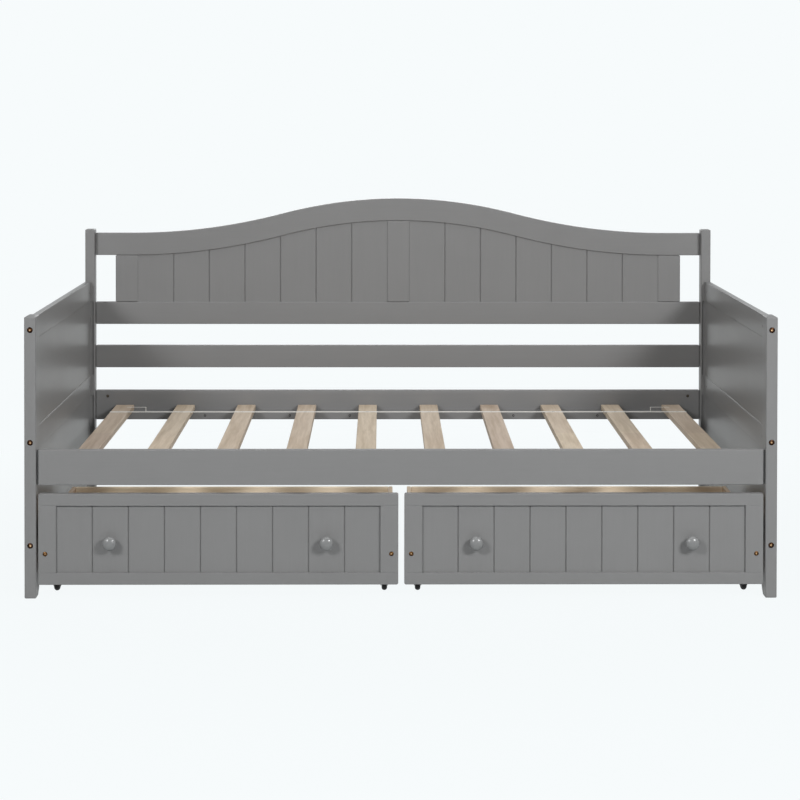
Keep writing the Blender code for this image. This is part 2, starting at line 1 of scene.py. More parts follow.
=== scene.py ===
# %% [markdown]
# # A storage daybed
# The real thing is a flat-packed daybed: pine boards and panels sprayed grey, ten raw pine slats, and two
# drawers that roll out at the front. The solids that were packed give every board its size and place.
# This lesson gives each of them its surface, and adds what was too fine for the solids: bolts, nuts,
# screws, ribbons, round knobs and casters.

# %% Load the frame
import math

import bmesh
import bpy
from mathutils import Matrix, Vector


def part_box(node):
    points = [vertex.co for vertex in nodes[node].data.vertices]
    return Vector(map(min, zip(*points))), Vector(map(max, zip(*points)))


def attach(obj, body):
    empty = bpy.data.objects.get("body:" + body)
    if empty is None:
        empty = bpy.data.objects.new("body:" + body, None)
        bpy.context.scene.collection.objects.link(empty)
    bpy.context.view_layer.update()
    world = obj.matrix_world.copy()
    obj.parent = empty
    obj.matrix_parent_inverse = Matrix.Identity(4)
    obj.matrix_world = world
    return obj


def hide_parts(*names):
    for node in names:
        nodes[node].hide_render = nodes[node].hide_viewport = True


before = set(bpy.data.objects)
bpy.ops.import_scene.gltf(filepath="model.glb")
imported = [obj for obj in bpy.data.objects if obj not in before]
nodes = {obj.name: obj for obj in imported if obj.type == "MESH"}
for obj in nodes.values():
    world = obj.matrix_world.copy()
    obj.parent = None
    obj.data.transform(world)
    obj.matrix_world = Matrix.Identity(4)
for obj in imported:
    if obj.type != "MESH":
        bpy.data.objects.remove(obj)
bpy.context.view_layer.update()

# %% [markdown]
# ## The camera
# The photograph is taken from nearly straight ahead, a little above the bed, through a lens that is
# pointed slightly down and shifted, so that the posts stay upright. The place, turn and lens were worked
# out from the edges of posts, rails and grooves, with the bed's sizes held.

# %% Camera
image_size = 800
principal_row = 130             # picture row at which the lens points
focal_pixels = 1939.8
camera_place = Vector((-0.0534, -5.6720, 1.3319))
camera_yaw = math.radians(0.539)
camera_pitch = math.radians(0.940)
camera_roll = math.radians(-0.073)

lens = bpy.data.cameras.new("studio_camera")
lens.sensor_width = 36
lens.lens = focal_pixels / image_size * lens.sensor_width
lens.shift_y = (principal_row - image_size / 2) / image_size
camera = bpy.data.objects.new("studio_camera", lens)
bpy.context.scene.collection.objects.link(camera)
turn = Matrix.Rotation(-camera_yaw, 4, "Z") @ Matrix.Rotation(math.pi / 2 - camera_pitch, 4, "X")
camera.matrix_world = Matrix.Translation(camera_place) @ turn @ Matrix.Rotation(-camera_roll, 4, "Z")
bpy.context.scene.camera = camera
print("lens", round(lens.lens, 1), "mm, shift", round(lens.shift_y, 3))

# %% [markdown]
# ## Colours and shader nodes
# A colour picked from a picture is an sRGB value, while a shader wants linear light, so one function
# turns a hex value round. Another adds a shader node with its settings and links, which keeps every
# material below to a few readable lines. Patterns are sized in millimetres and follow the object's own
# coordinates.

# %% Helpers for materials
def linear(hex_color):
    """Linear red, green, blue and alpha of an sRGB hex colour."""
    channels = [int(hex_color[i:i + 2], 16) / 255 for i in (1, 3, 5)]
    bright = [c / 12.92 if c <= 0.04045 else ((c + 0.055) / 1.055) ** 2.4 for c in channels]
    return (*bright, 1.0)


def set_inputs(tree, node, inputs):
    """Give sockets of a node their values, or link them: a node stands for its first output."""
    for name, value in inputs.items():
        if isinstance(value, bpy.types.Node):
            tree.links.new(value.outputs[0], node.inputs[name])
        elif isinstance(value, bpy.types.NodeSocket):
            tree.links.new(value, node.inputs[name])
        else:
            node.inputs[name].default_value = value


def add(tree, kind, inputs=None, **settings):
    """Add a shader node: settings are its properties, inputs the values or links of its sockets."""
    made = tree.nodes.new("ShaderNode" + kind)
    for name, value in settings.items():
        setattr(made, name, value)
    set_inputs(tree, made, inputs or {})
    return made


def new_material(name, inputs):
    """A Principled material; returns it with its tree, its shader and the object's coordinates."""
    material = bpy.data.materials.new(name)
    material.use_nodes = True
    tree = material.node_tree
    shader = tree.nodes["Principled BSDF"]
    set_inputs(tree, shader, inputs)
    return material, tree, shader, add(tree, "TexCoord").outputs["Object"]


def scale_of(millimetres):
    """Texture scale at which a noise has features of about that size."""
    return 1000 / millimetres


def stretched(along, share):
    """Scales for a pattern that is drawn out along one axis: 0 is x, 1 is y and 2 is z."""
    return [share if axis == along else 1.0 for axis in range(3)]


# %% [markdown]
# ## Sprayed satin paint
# Pine and board are sanded, primed and sprayed with a mid-grey satin paint. What the eye gets is a smooth,
# slightly uneven, weak sheen: the back mirrors faintly in the inner faces of the ends. Under the
# paint the grain still lifts the surface a little along each board. So the colour is nearly even, and
# the life is in the roughness and a low bump. The bump of the sprayed coat is really about 1 mm across
# and is drawn at 3 mm, because finer would not show.

# %% Paint
paint_gray = "#848484"
paint_bump = 0.00008            # height of the grain and of the sprayed coat
gloss_spread = 0.015            # how far the roughness strays to either side


def sprayed_paint(name, along, color=paint_gray, roughness=0.33, sheen=0.06):
    """Satin paint on pine whose grain runs along one axis."""
    material, tree, shader, place = new_material(name, {"IOR": 1.5, "Specular IOR Level": sheen})
    fibres = add(tree, "Mapping", {"Vector": place, "Scale": stretched(along, 0.04)})
    grain = add(tree, "TexNoise", {"Vector": fibres, "Scale": scale_of(5), "Detail": 3})
    cloud = add(tree, "TexNoise", {"Vector": place, "Scale": scale_of(140), "Detail": 2})
    coat = add(tree, "TexNoise", {"Vector": place, "Scale": scale_of(3), "Detail": 1})
    mixed = add(tree, "Math", {0: grain, 1: cloud}, operation="ADD")
    value = add(tree, "MapRange", {"Value": mixed, "From Min": 0.6, "From Max": 1.4,
                                   "To Min": 0.98, "To Max": 1.02})
    shade = add(tree, "HueSaturation", {"Value": value, "Color": linear(color)})
    gloss = add(tree, "MapRange", {"Value": cloud, "From Min": 0.3, "From Max": 0.7,
                                   "To Min": roughness - gloss_spread,
                                   "To Max": roughness + gloss_spread})
    lift = add(tree, "Bump", {"Height": grain, "Strength": 0.10, "Distance": paint_bump})
    peel = add(tree, "Bump", {"Height": coat, "Strength": 0.10, "Distance": paint_bump, "Normal": lift})
    set_inputs(tree, shader, {"Base Color": shade, "Roughness": gloss, "Normal": peel})
    return material


paint_x = sprayed_paint("satin paint, grain along x", 0)
paint_y = sprayed_paint("satin paint, grain along y", 1)
paint_z = sprayed_paint("satin paint, grain along z", 2)
knob_paint = sprayed_paint("gloss paint on turned wood", 1, "#7E7F7F", 0.24, 0.5)
print("paint", paint_gray)

# %% [markdown]
# ## Planed softwood
# The slats and the drawer boxes are raw pine. A planed board shows soft streaks of early and late wood
# along its length, fine fibres between them, and now and then a small knot. Streaks are a noise drawn out
# along the board, and fibres a finer one. Each slat comes from another plank, so the colour shifts from
# one to the next: the place is snapped to the spacing of the boards, and a random value read there. A
# Mix node that mixes colours takes them at its sockets 6 and 7, and gives its result at 2.

# %% Wood
streak_wander = 0.02            # how far a streak leaves its straight line


def planed_softwood(name, along, light, dark, plank_axis, plank_step, knot_share=0.82, roughness=0.62):
    """Raw planed pine; the tint changes from plank to plank, every plank_step along plank_axis."""
    material, tree, shader, place = new_material(name, {"Roughness": roughness, "IOR": 1.45})
    wander = add(tree, "TexNoise", {"Vector": place, "Scale": scale_of(260), "Detail": 2})
    bent = add(tree, "VectorMath", {0: wander.outputs["Color"], 1: (streak_wander,) * 3},
               operation="MULTIPLY")
    wandering = add(tree, "VectorMath", {0: place, 1: bent}, operation="ADD")
    drawn = add(tree, "Mapping", {"Vector": wandering, "Scale": stretched(along, 0.05)})
    streaks = add(tree, "TexNoise", {"Vector": drawn, "Scale": scale_of(16), "Detail": 4, "Roughness": 0.6})
    fibres = add(tree, "TexNoise", {"Vector": drawn, "Scale": scale_of(3), "Detail": 3, "Roughness": 0.7})
    tone = add(tree, "MapRange", {"Value": streaks, "From Min": 0.36, "From Max": 0.64})
    wood = add(tree, "Mix", {0: tone, 6: linear(light), 7: linear(dark)}, data_type="RGBA")
    pick = [1.0 if axis == plank_axis else 0.0 for axis in range(3)]
    only = add(tree, "VectorMath", {0: place, 1: pick}, operation="MULTIPLY")
    snapped = add(tree, "VectorMath", {0: only, 1: (plank_step,) * 3}, operation="SNAP")
    pieces = add(tree, "TexWhiteNoise", {"Vector": snapped})
    brightness = add(tree, "MapRange", {"Value": pieces.outputs["Value"], "To Min": 0.90, "To Max": 1.08})
    fine = add(tree, "MapRange", {"Value": fibres, "From Min": 0.3, "From Max": 0.7,
                                  "To Min": 0.95, "To Max": 1.05})
    both = add(tree, "Math", {0: brightness, 1: fine}, operation="MULTIPLY")
    warmth = add(tree, "SeparateColor", {"Color": pieces.outputs["Color"]})
    hue = add(tree, "MapRange", {"Value": warmth, "To Min": 0.49, "To Max": 0.505})
    tinted = add(tree, "HueSaturation", {"Hue": hue, "Value": both, "Color": wood.outputs[2]})
    oval = add(tree, "Mapping", {"Vector": place, "Scale": stretched(along, 0.6)})
    knots = add(tree, "TexVoronoi", {"Vector": oval, "Scale": scale_of(60)})
    kept = add(tree, "SeparateColor", {"Color": knots.outputs["Color"]})
    rare = add(tree, "Math", {0: kept, 1: knot_share}, operation="GREATER_THAN")
    core = add(tree, "MapRange", {"Value": knots.outputs["Distance"], "From Min": 0.03,
                                  "From Max": 0.12, "To Min": 0.6, "To Max": 0.0})
    knot = add(tree, "Math", {0: core, 1: rare}, operation="MULTIPLY")
    final = add(tree, "Mix", {0: knot, 6: tinted, 7: linear("#7A5B42")}, data_type="RGBA")
    relief = add(tree, "Bump", {"Height": fibres, "Strength": 0.25, "Distance": 0.0004})
    set_inputs(tree, shader, {"Base Color": final.outputs[2], "Normal": relief})
    return material


slat_names = ["slat_%02d" % (i + 1) for i in range(10)]
slat_boxes = [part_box(name) for name in slat_names]
slat_low, slat_high = slat_boxes[0][0].x, slat_boxes[-1][1].x
slat_spacing = (slat_boxes[-1][0].x - slat_low) / (len(slat_boxes) - 1)
slat_pine = planed_softwood("raw pine, slats", 1, "#C9B9A5", "#B2A08A", 0, slat_spacing)
# The drawer backs get a much lighter pine than the sides: painted light, for light that reaches into the
# box.
box_pine_x_painted_light = planed_softwood("raw pine, grain along x, lightened as painted light", 0, "#E6D6C0", "#D6C5AC", 1, 0.5, 0.97)
box_pine_y = planed_softwood("raw pine, grain along y", 1, "#D6C5AE", "#BFAB90", 0, 0.12, 0.9)
thin_ply = planed_softwood("birch plywood", 0, "#D0BC9A", "#BDA682", 2, 0.5, 0.97, 0.5)
print("slats spaced", round(slat_spacing, 4))

# %% [markdown]
# ## Metal, plastic and ribbon
# The bolts are steel with an antique bronze plating, darker in random patches; the small floors of their
# sockets are pale brass, a painted highlight. The nuts in the ends are sprayed over with them, those in the
# front rail and the ledgers' screws are blackened steel, and those in the back rail a duller one. Staples
# and casters' screws are zinc plated.
# Wheels are moulded black plastic, dull from the mould. The ribbon is woven, and its threads run across it
# every half millimetre; they are drawn at 2 mm here.

# %% Small materials
def plated_steel(name, bright, dark, roughness):
    """Plated steel: the plating is darker in patches of about 4 mm."""
    material, tree, shader, place = new_material(name, {"Metallic": 1.0, "Roughness": roughness})
    patches = add(tree, "TexNoise", {"Vector": place, "Scale": scale_of(4), "Detail": 3})
    tone = add(tree, "MapRange", {"Value": patches, "From Min": 0.35, "From Max": 0.65})
    color = add(tree, "Mix", {0: tone, 6: linear(bright), 7: linear(dark)}, data_type="RGBA")
    set_inputs(tree, shader, {"Base Color": color.outputs[2]})
    return material


def moulded_plastic(name, color, roughness):
    """Moulded plastic with the fine pitting of its mould, about 1 mm across."""
    plain = {"Base Color": linear(color), "Roughness": roughness, "IOR": 1.46, "Specular IOR Level": 0.25}
    material, tree, shader, place = new_material(name, plain)
    pits = add(tree, "TexNoise", {"Vector": place, "Scale": scale_of(1), "Detail": 2})
    relief = add(tree, "Bump", {"Height": pits, "Strength": 0.2, "Distance": 0.0002})
    set_inputs(tree, shader, {"Normal": relief})
    return material


def woven_ribbon(name, color):
    """Thin polyester ribbon with threads across it."""
    material, tree, shader, place = new_material(name, {"Roughness": 0.8, "IOR": 1.45})
    threads = add(tree, "TexWave", {"Vector": place, "Scale": scale_of(2) / math.tau,
                                    "Distortion": 0.4}, bands_direction="X")
    value = add(tree, "MapRange", {"Value": threads.outputs[1], "To Min": 0.88, "To Max": 1.0})
    shade = add(tree, "HueSaturation", {"Value": value, "Color": linear(color)})
    relief = add(tree, "Bump", {"Height": threads.outputs[1], "Strength": 0.3, "Distance": 0.0002})
    set_inputs(tree, shader, {"Base Color": shade, "Normal": relief})
    return material


bronze = plated_steel("antique bronze plating", "#553B2B", "#241912", 0.36)
bright_brass = plated_steel("brass plating", "#7C5A38", "#33241A", 0.30)
# Pale brass for the floors of the bolts' sockets: a painted highlight, not wear.
socket_highlight_brass = plated_steel("brass lightened as a painted highlight", "#DDBB92", "#96704C", 0.3)
black_steel = plated_steel("blackened steel", "#3A3A3A", "#1C1C1C", 0.45)
dull_steel = plated_steel("dull brown steel", "#6A6258", "#4A443C", 0.5)
zinc_steel = plated_steel("zinc plated steel", "#B9BABA", "#8E9090", 0.35)
black_plastic = moulded_plastic("moulded black plastic", "#0E0E0E", 0.55)
ribbon_white = woven_ribbon("woven white ribbon", "#EFEDE7")
print("materials", len(bpy.data.materials))

# %% [markdown]
# ## Making pieces
# A finished piece sits at the origin with its place in its mesh, like the solids do, so that a pattern
# on object coordinates falls on it where the piece is. Boards are smooth shaded and get weighted
# normals: the large faces stay flat, and the light rolls over the eased edges.

# %% Helpers for pieces
sharp_from = math.radians(50)
flat_within = math.radians(0.5)
weld_within = 0.00001
small_sides, middle_sides, fine_sides = 16, 20, 48     # of turned pieces


def keep_flat(piece):
    """Let the large faces of a smooth shaded piece stay flat."""
    weighted = piece.modifiers.new("flat faces stay flat", "WEIGHTED_NORMAL")
    weighted.keep_sharp = True


def place_piece(name, mesh, material, body, replaced=()):
    """Make a smooth shaded piece of a bmesh, give it its finish and let it ride on its body."""
    for face in mesh.faces:
        face.smooth = True
    for edge in mesh.edges:
        if len(edge.link_faces) == 2 and edge.calc_face_angle() > sharp_from:
            edge.smooth = False
    data = bpy.data.meshes.new(name)
    mesh.to_mesh(data)
    mesh.free()
    data.materials.append(material)
    piece = bpy.data.objects.new(name, data)
    bpy.context.scene.collection.objects.link(piece)
    keep_flat(piece)
    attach(piece, body)
    if replaced:
        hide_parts(*replaced)
    return piece


def block(low, high):
    """A bmesh block between two corners."""
    low, high = Vector(low), Vector(high)
    mesh = bmesh.new()
    bmesh.ops.create_cube(mesh, size=1)
    bmesh.ops.scale(mesh, vec=high - low, verts=mesh.verts)
    bmesh.ops.translate(mesh, vec=(low + high) / 2, verts=mesh.verts)
    return mesh


def ease(mesh, edges, width, segments=3):
    """Round edges of a bmesh."""
    bmesh.ops.bevel(mesh, geom=edges, offset=width, offset_type="OFFSET", segments=segments, profile=0.5,
                    affect="EDGES", material=-1)


def plank(low, high, width):
    """A bmesh board with every edge eased by width."""
    mesh = block(low, high)
    ease(mesh, mesh.edges[:], width)
    return mesh


def merged_copy(node):
    """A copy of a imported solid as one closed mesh, with its flat triangles joined to larger faces."""
    mesh = bmesh.new()
    mesh.from_mesh(nodes[node].data)
    bmesh.ops.remove_doubles(mesh, verts=mesh.verts, dist=weld_within)
    bmesh.ops.dissolve_limit(mesh, angle_limit=flat_within, verts=mesh.verts, edges=mesh.edges)
    return mesh


def dress(node, material, body="bed_frame"):
    """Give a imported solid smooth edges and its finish, as a piece that stands for it."""
    return place_piece("dressed_" + node, merged_copy(node), material, body, [node])


def cut(piece, cutter_mesh):
    """Take a bmesh shape out of a piece for good."""
    data = bpy.data.meshes.new("cutter")
    cutter_mesh.to_mesh(data)
    cutter_mesh.free()
    cutter = bpy.data.objects.new("cutter", data)
    bpy.context.scene.collection.objects.link(cutter)
    step = piece.modifiers.new("cut", "BOOLEAN")
    step.object = cutter
    step.solver = "EXACT"
    piece.modifiers.move(len(piece.modifiers) - 1, 0)
    bpy.context.view_layer.update()
    shaped = bpy.data.meshes.new_from_object(piece.evaluated_get(bpy.context.evaluated_depsgraph_get()))
    piece.modifiers.clear()
    piece.data = shaped
    bpy.data.objects.remove(cutter)
    keep_flat(piece)


def aimed(axis):
    """Rotation that turns +Z to an axis."""
    return Vector((0, 0, 1)).rotation_difference(Vector(axis)).to_matrix().to_4x4()


def lathe(profile, axis, place, sides):
    """A bmesh turned about an axis through a place; profile holds (radius, distance along the axis)."""
    mesh = bmesh.new()
    rows = [mesh.verts.new((radius, 0, height)) for radius, height in profile]
    edges = [mesh.edges.new(pair) for pair in zip(rows, rows[1:])]
    bmesh.ops.spin(mesh, geom=rows + edges, cent=(0, 0, 0), axis=(0, 0, 1), angle=math.tau, steps=sides,
                   use_merge=True)
    bmesh.ops.remove_doubles(mesh, verts=mesh.verts, dist=weld_within / 2)
    bmesh.ops.recalc_face_normals(mesh, faces=mesh.faces)
    bmesh.ops.transform(mesh, matrix=Matrix.Translation(place) @ aimed(axis), verts=mesh.verts)
    return mesh


def joined(meshes):
    """Several bmesh shapes as one."""
    whole = bmesh.new()
    for part in meshes:
        data = bpy.data.meshes.new("part")
        part.to_mesh(data)
        part.free()
        whole.from_mesh(data)
        bpy.data.meshes.remove(data)
    return whole


# %% [markdown]
# ## Posts, ends and rails
# These boards already have their true outlines, with the counterbores, the holes for the barrel nuts
# and the grooves that hold the panels. So each is copied, its triangles are joined, and its eased edges are
# shaded round. The paint's grain runs along each board. The photograph shows four things more finely than
# the solids have them: the panels of the ends lie nearly level with their rails, the front posts end in a
# rounded pillow, the front rail is set back a little where it meets the posts, and a shadow line runs down
# each back post beside the panels of the end. The two ledgers are made anew, a little shorter, so that the
# outermost slats hide their ends.

# %% Frame boards
for side in ("left", "right"):
    for post in ("front_post_", "back_post_"):
        dress(post + side, paint_z)
    for board in ("end_top_rail_", "end_middle_rail_", "end_bottom_rail_", "end_upper_panel_",
                  "end_lower_panel_"):
        dress(board + side, paint_y)
for board in ("back_upper_rail", "back_lower_rail", "back_side_rail", "front_side_rail"):
    dress(board, paint_x)
for board in ("back_stile_left", "back_stile_middle", "back_stile_right", "back_beadboard_left",
              "back_beadboard_right"):
    dress(board, paint_z)
print("frame boards dressed")

# %% Fuller end panels
upper_panel_fuller = 0.005
lower_panel_fuller = 0.0015
panel_face_zone = 0.001         # what lies this near the innermost point is the inner face


def fill_out(name, depth):
    """Move the inner face of an end panel towards the middle of the bed."""
    data = bpy.data.objects[name].data
    inner = min(abs(vert.co.x) for vert in data.vertices)
    for vert in data.vertices:
        if abs(vert.co.x) < inner + panel_face_zone:
            vert.co.x -= math.copysign(depth, vert.co.x)


for side in ("left", "right"):
    fill_out("dressed_end_upper_panel_" + side, upper_panel_fuller)
    fill_out("dressed_end_lower_panel_" + side, lower_panel_fuller)
print("end panels filled out")

# %% Pillow tops of the front posts
top_lift = 0.002                # the eased edge ends this much above the solid's
top_zone = 0.006                # the eased edge lies in this zone below the top
pillow_rise = 0.0045
pillow_ring_shares = (0.12, 0.26, 0.42, 0.58, 0.74, 0.90)   # of the way from the edge to the middle


def round_top(name):
    """Extrude the flat top of a post in rings that close and rise to a shallow pillow."""
    data = bpy.data.objects[name].data
    mesh = bmesh.new()
    mesh.from_mesh(data)
    top = max(mesh.faces, key=lambda face: face.calc_center_bounds().z)
    middle = top.calc_center_bounds()
    for vert in mesh.verts:
        if vert.co.z > middle.z - top_zone:
            vert.co.z += top_lift
    before = 0.0
    for share in pillow_ring_shares:
        grown = bmesh.ops.extrude_face_region(mesh, geom=[top])["geom"]
        top = next(item for item in grown if isinstance(item, bmesh.types.BMFace))
        for vert in top.verts:
            vert.co.x = middle.x + (vert.co.x - middle.x) * (1 - share) / (1 - before)
            vert.co.y = middle.y + (vert.co.y - middle.y) * (1 - share) / (1 - before)
            vert.co.z = middle.z + top_lift + pillow_rise * (1 - (1 - share) ** 2)
        before = share
    for face in mesh.faces:
        face.smooth = True
    mesh.to_mesh(data)
    mesh.free()


for side in ("left", "right"):
    round_top("dressed_front_post_" + side)
print("front posts rounded")

# %% Ledgers
ledger_shorter = Vector((0.050, 0, 0))          # at each end
ledger_ease = 0.001
for name in ("ledger_front", "ledger_back"):
    low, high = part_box(name)
    strip = plank(low + ledger_shorter, high - ledger_shorter, ledger_ease)
    place_piece("glued_" + name, strip, paint_x, "bed_frame", [name])
print("ledgers placed")

# %% Shoulders of the front rail
shoulder_width = 0.0065         # the rail's face stops this far from each post
shoulder_depth = 0.008
fit_room = 0.001                # how far a cutter reaches past the board
side_rail_low, side_rail_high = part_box("front_side_rail")
notches = []
for end_x, inward in ((side_rail_low.x, 1), (side_rail_high.x, -1)):
    near, far = sorted((end_x - inward * fit_room, end_x + inward * shoulder_width))
    notches.append(block((near, side_rail_low.y - fit_room, side_rail_low.z - fit_room),
                         (far, side_rail_low.y + shoulder_depth, side_rail_high.z + fit_room)))
cut(bpy.data.objects["dressed_front_side_rail"], joined(notches))
print("front rail shouldered")

# %% Shadow lines of the back posts
shadow_line_width = 0.008
shadow_line_depth = 0.004
for side, word in ((-1, "left"), (1, "right")):
    rails = [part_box("end_%s_rail_%s" % (rail, word)) for rail in ("bottom", "middle", "top")]
    inner_x = side * min(abs(corner.x) for corner in rails[0])
    near, far = sorted((inner_x, inner_x - side * shadow_line_width))
    face_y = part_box("back_post_" + word)[0].y
    lines = [block((near, face_y - fit_room, under[1].z), (far, face_y + shadow_line_depth, over[0].z))
             for under, over in zip(rails, rails[1:])]
    cut(bpy.data.objects["dressed_back_post_" + word], joined(lines))
print("back posts grooved")

# %% [markdown]
# ## The crest rail
# The top rail of the back is sawn from one wide board along an S curve: it rises to the middle and runs
# out level at the posts. It could be a curve object, but here a straight board with rounded edges is divided
# along its length, and each step is lifted to the curve. That keeps the rounding the same everywhere.
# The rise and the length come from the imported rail.

# %% Crest rail
crest_low, crest_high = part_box("crest_rail")
crest_tall = 0.071
crest_step = 0.008
crest_end_straight = 0.1177     # level run at each end
crown_share = 0.436             # part of the half span that curves outwards
crest_rounding = 0.0025

arch_rise = crest_high.z - crest_low.z - crest_tall
arch_half = crest_high.x - crest_end_straight
arch_slope = 2 * arch_rise / arch_half
crown_half = crown_share * arch_half


def arch_at(x):
    """Height of the arch above the level ends."""
    reach = abs(x)
    if reach <= crown_half:
        return arch_rise - arch_slope * reach ** 2 / (2 * crown_half)
    if reach < arch_half:
        return arch_slope * (arch_half - reach) ** 2 / (2 * (arch_half - crown_half))
    return 0.0


def make_crest():
    """Divide a straight eased board along its length and lift each step by the arch."""
    mesh = plank(crest_low, (crest_high.x, crest_high.y, crest_low.z + crest_tall), crest_rounding)
    length = crest_high.x - crest_low.x
    long_edges = [e for e in mesh.edges if abs(e.verts[0].co.x - e.verts[1].co.x) > length / 2]
    bmesh.ops.subdivide_edges(mesh, edges=long_edges, cuts=round(length / crest_step), use_grid_fill=True)
    for vert in mesh.verts:
        vert.co.z += arch_at(vert.co.x)
    return place_piece("crest_rail_sawn", mesh, paint_x, "bed_frame", ["crest_rail"])


crest = make_crest()
print("crest rail faces", len(crest.data.polygons), "rise", round(arch_rise, 4))

# %% [markdown]
# ## Slats and the ribbons that tie them
# Ten planed slats lie loose on the ledgers. Two ribbons, one near each end, hold them at their spacing;
# each ribbon is stapled to every slat. The ribbon is pulled tight, so it runs straight from slat to
# slat. At both ends of the back ribbon a little slack stands up in a loop beside the slat.

# %% Slats
slat_ease = 0.002
for name, (low, high) in zip(slat_names, slat_boxes):
    place_piece("planed_" + name, plank(low, high, slat_ease), slat_pine, "bed_frame", [name])
print("slats", len(slat_boxes))

# %% Ribbons and staples
ribbon_width = 0.015
ribbon_thickness = 0.0005
ribbon_ease = ribbon_thickness / 4
ribbon_from_front = 0.115
ribbon_from_back = 0.145
ribbon_lift = 0.0002            # above the slats
staple_width = 0.009
staple_wire = 0.0011
loop_reach = 0.056              # past the edge of the slat
loop_height = 0.0145
loop_top_width = 0.004
loop_side_width = 0.0022

slat_front, slat_back = slat_boxes[0][0].y, slat_boxes[0][1].y
ribbon_bottom = slat_boxes[0][1].z + ribbon_lift
ribbon_top = ribbon_bottom + ribbon_thickness


def make_ribbon(name, y):
    """A tight flat ribbon across the slats."""
    mesh = plank((slat_low, y - ribbon_width / 2, ribbon_bottom),
                 (slat_high, y + ribbon_width / 2, ribbon_top), ribbon_ease)
    place_piece(name, mesh, ribbon_white, "bed_frame")


def make_staples(name, y):
    """A staple across the ribbon on each slat: a wire crown that lies on the ribbon."""
    crowns = []
    for low, high in slat_boxes:
        middle = (low.x + high.x) / 2
        corner = (middle - staple_width / 2, y - staple_wire / 2, ribbon_top)
        far = (middle + staple_width / 2, y + staple_wire / 2, ribbon_top + staple_wire / 2)
        crowns.append(plank(corner, far, staple_wire / 5))
    place_piece(name, joined(crowns), zinc_steel, "bed_frame")


def make_loop(name, edge_x, outward):
    """Slack of the back ribbon, standing up beside a slat's edge; outward is +1 to the right."""
    y = slat_back - ribbon_from_back
    loop_top = ribbon_top + loop_height
    fold_top = loop_top - ribbon_thickness
    end = edge_x + outward * loop_reach
    left, right = sorted((edge_x - outward * slat_ease * 2, end))
    fold_left, fold_right = sorted((end, end - outward * loop_side_width))
    bands = [
        plank((left, y - loop_top_width / 2, fold_top),
              (right, y + loop_top_width / 2, loop_top), ribbon_ease),
        plank((fold_left, y - ribbon_thickness / 2, ribbon_top),
              (fold_right, y + ribbon_thickness / 2, fold_top), ribbon_ease),
    ]
    place_piece(name, joined(bands), ribbon_white, "bed_frame")


for word, y in (("front", slat_front + ribbon_from_front), ("back", slat_back - ribbon_from_back)):
    make_ribbon("ribbon_" + word, y)
    make_staples("staples_" + word, y)
make_loop("ribbon_loop_left", slat_boxes[0][1].x, 1)
make_loop("ribbon_loop_right", slat_boxes[-1][0].x, -1)
print("ribbon length", round(slat_high - slat_low, 3))

# %% [markdown]
# ## Bolts
# The frame is held by barrel bolts: a domed round head with a hexagon socket sits in a counterbore, and the
# thread runs into a steel barrel across the rail. A lathe can't turn a hexagon, so a head is made of rings:
# circles for its rim and dome, then two hexagons whose sides are divided until every ring has as many
# points. Each ring is bridged to the next, from the underside to the bottom of the socket. Each socket also
# gets a small dished floor of pale brass: a painted highlight, standing for the light that the head
# reflects.

# %% Bolt heads
head_sides = 24
bolt_head_diameter = 0.0156
bolt_head_height = 0.0034
bolt_dome = 0.0020              # how far the head falls away to its rim
bolt_head_depth = 0.0008        # face of the head below the post's face
bolt_socket = 0.0076            # across the corners
socket_depth_share = 0.30       # of the socket's width
socket_floor_rise = 0.0006      # how far the dished floor rises
socket_floor_share = 0.62       # of the socket's width
lip_share = 1.12                # of the socket's width
shoulder_fall_share = 0.32      # of the dome
socket_rim_fall_share = 0.1     # of the dome


def ring_of(mesh, sides, radius, level):
    """Edges of a level ring with head_sides points: a circle, or a hexagon whose sides are divided."""
    known = set(mesh.edges)
    verts = bmesh.ops.create_circle(mesh, cap_ends=False, segments=sides, radius=radius)["verts"]
    bmesh.ops.translate(mesh, vec=(0, 0, level), verts=verts)
    if sides < head_sides:
        whole = [edge for edge in mesh.edges if edge not in known]
        bmesh.ops.subdivide_edges(mesh, edges=whole, cuts=head_sides // sides - 1)
    return [edge for edge in mesh.edges if edge not in known]


def bolt_head(place, axis, diameter, height, dome, socket):
    """A bmesh bolt head with a hexagon socket; place is the middle of its face, axis points out of it."""
    mesh = bmesh.new()
    radius, lip = diameter / 2, socket / 2 * lip_share
    shoulder = (radius + lip) / 2
    rings = [ring_of(mesh, head_sides, radius, -height), ring_of(mesh, head_sides, radius, -dome),
             ring_of(mesh, head_sides, shoulder, -dome * shoulder_fall_share),
             ring_of(mesh, head_sides, lip, 0),
             ring_of(mesh, 6, socket / 2, -dome * socket_rim_fall_share),
             ring_of(mesh, 6, socket / 2, -socket * socket_depth_share)]
    for inner, outer in zip(rings, rings[1:]):
        bmesh.ops.bridge_loops(mesh, edges=inner + outer)
    bmesh.ops.holes_fill(mesh, edges=mesh.edges)
    bmesh.ops.recalc_face_normals(mesh, faces=mesh.faces)
    bmesh.ops.transform(mesh, matrix=Matrix.Translation(place) @ aimed(axis), verts=mesh.verts)
    return mesh


def make_bolts(name, places, axis, sizes, depth, material, body):
    """Equal bolt heads in their counterbores, as one piece; places lie on the face around them."""
    out = Vector(axis)
    heads = [bolt_head(Vector(p) - out * depth, axis, *sizes) for p in places]
    place_piece(name, joined(heads), material, body)
    socket = sizes[-1]
    # A pale dished floor in each socket: a painted highlight for the light that the head reflects.
    radius, bottom = socket / 2 * socket_floor_share, -socket * socket_depth_share
    profile = [(0, bottom), (radius, bottom), (radius, bottom + socket_floor_rise * 1.5),
               (radius / 2, bottom + socket_floor_rise), (0, bottom + socket_floor_rise / 2)]
    floors = [lathe(profile, axis, Vector(p) - out * depth, small_sides) for p in places]
    place_piece(name + "_socket_highlights", joined(floors), socket_highlight_brass, body)


def middle_height(node):
    """Height of the middle of a solid."""
    low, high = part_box(node)
    return (low.z + high.z) / 2


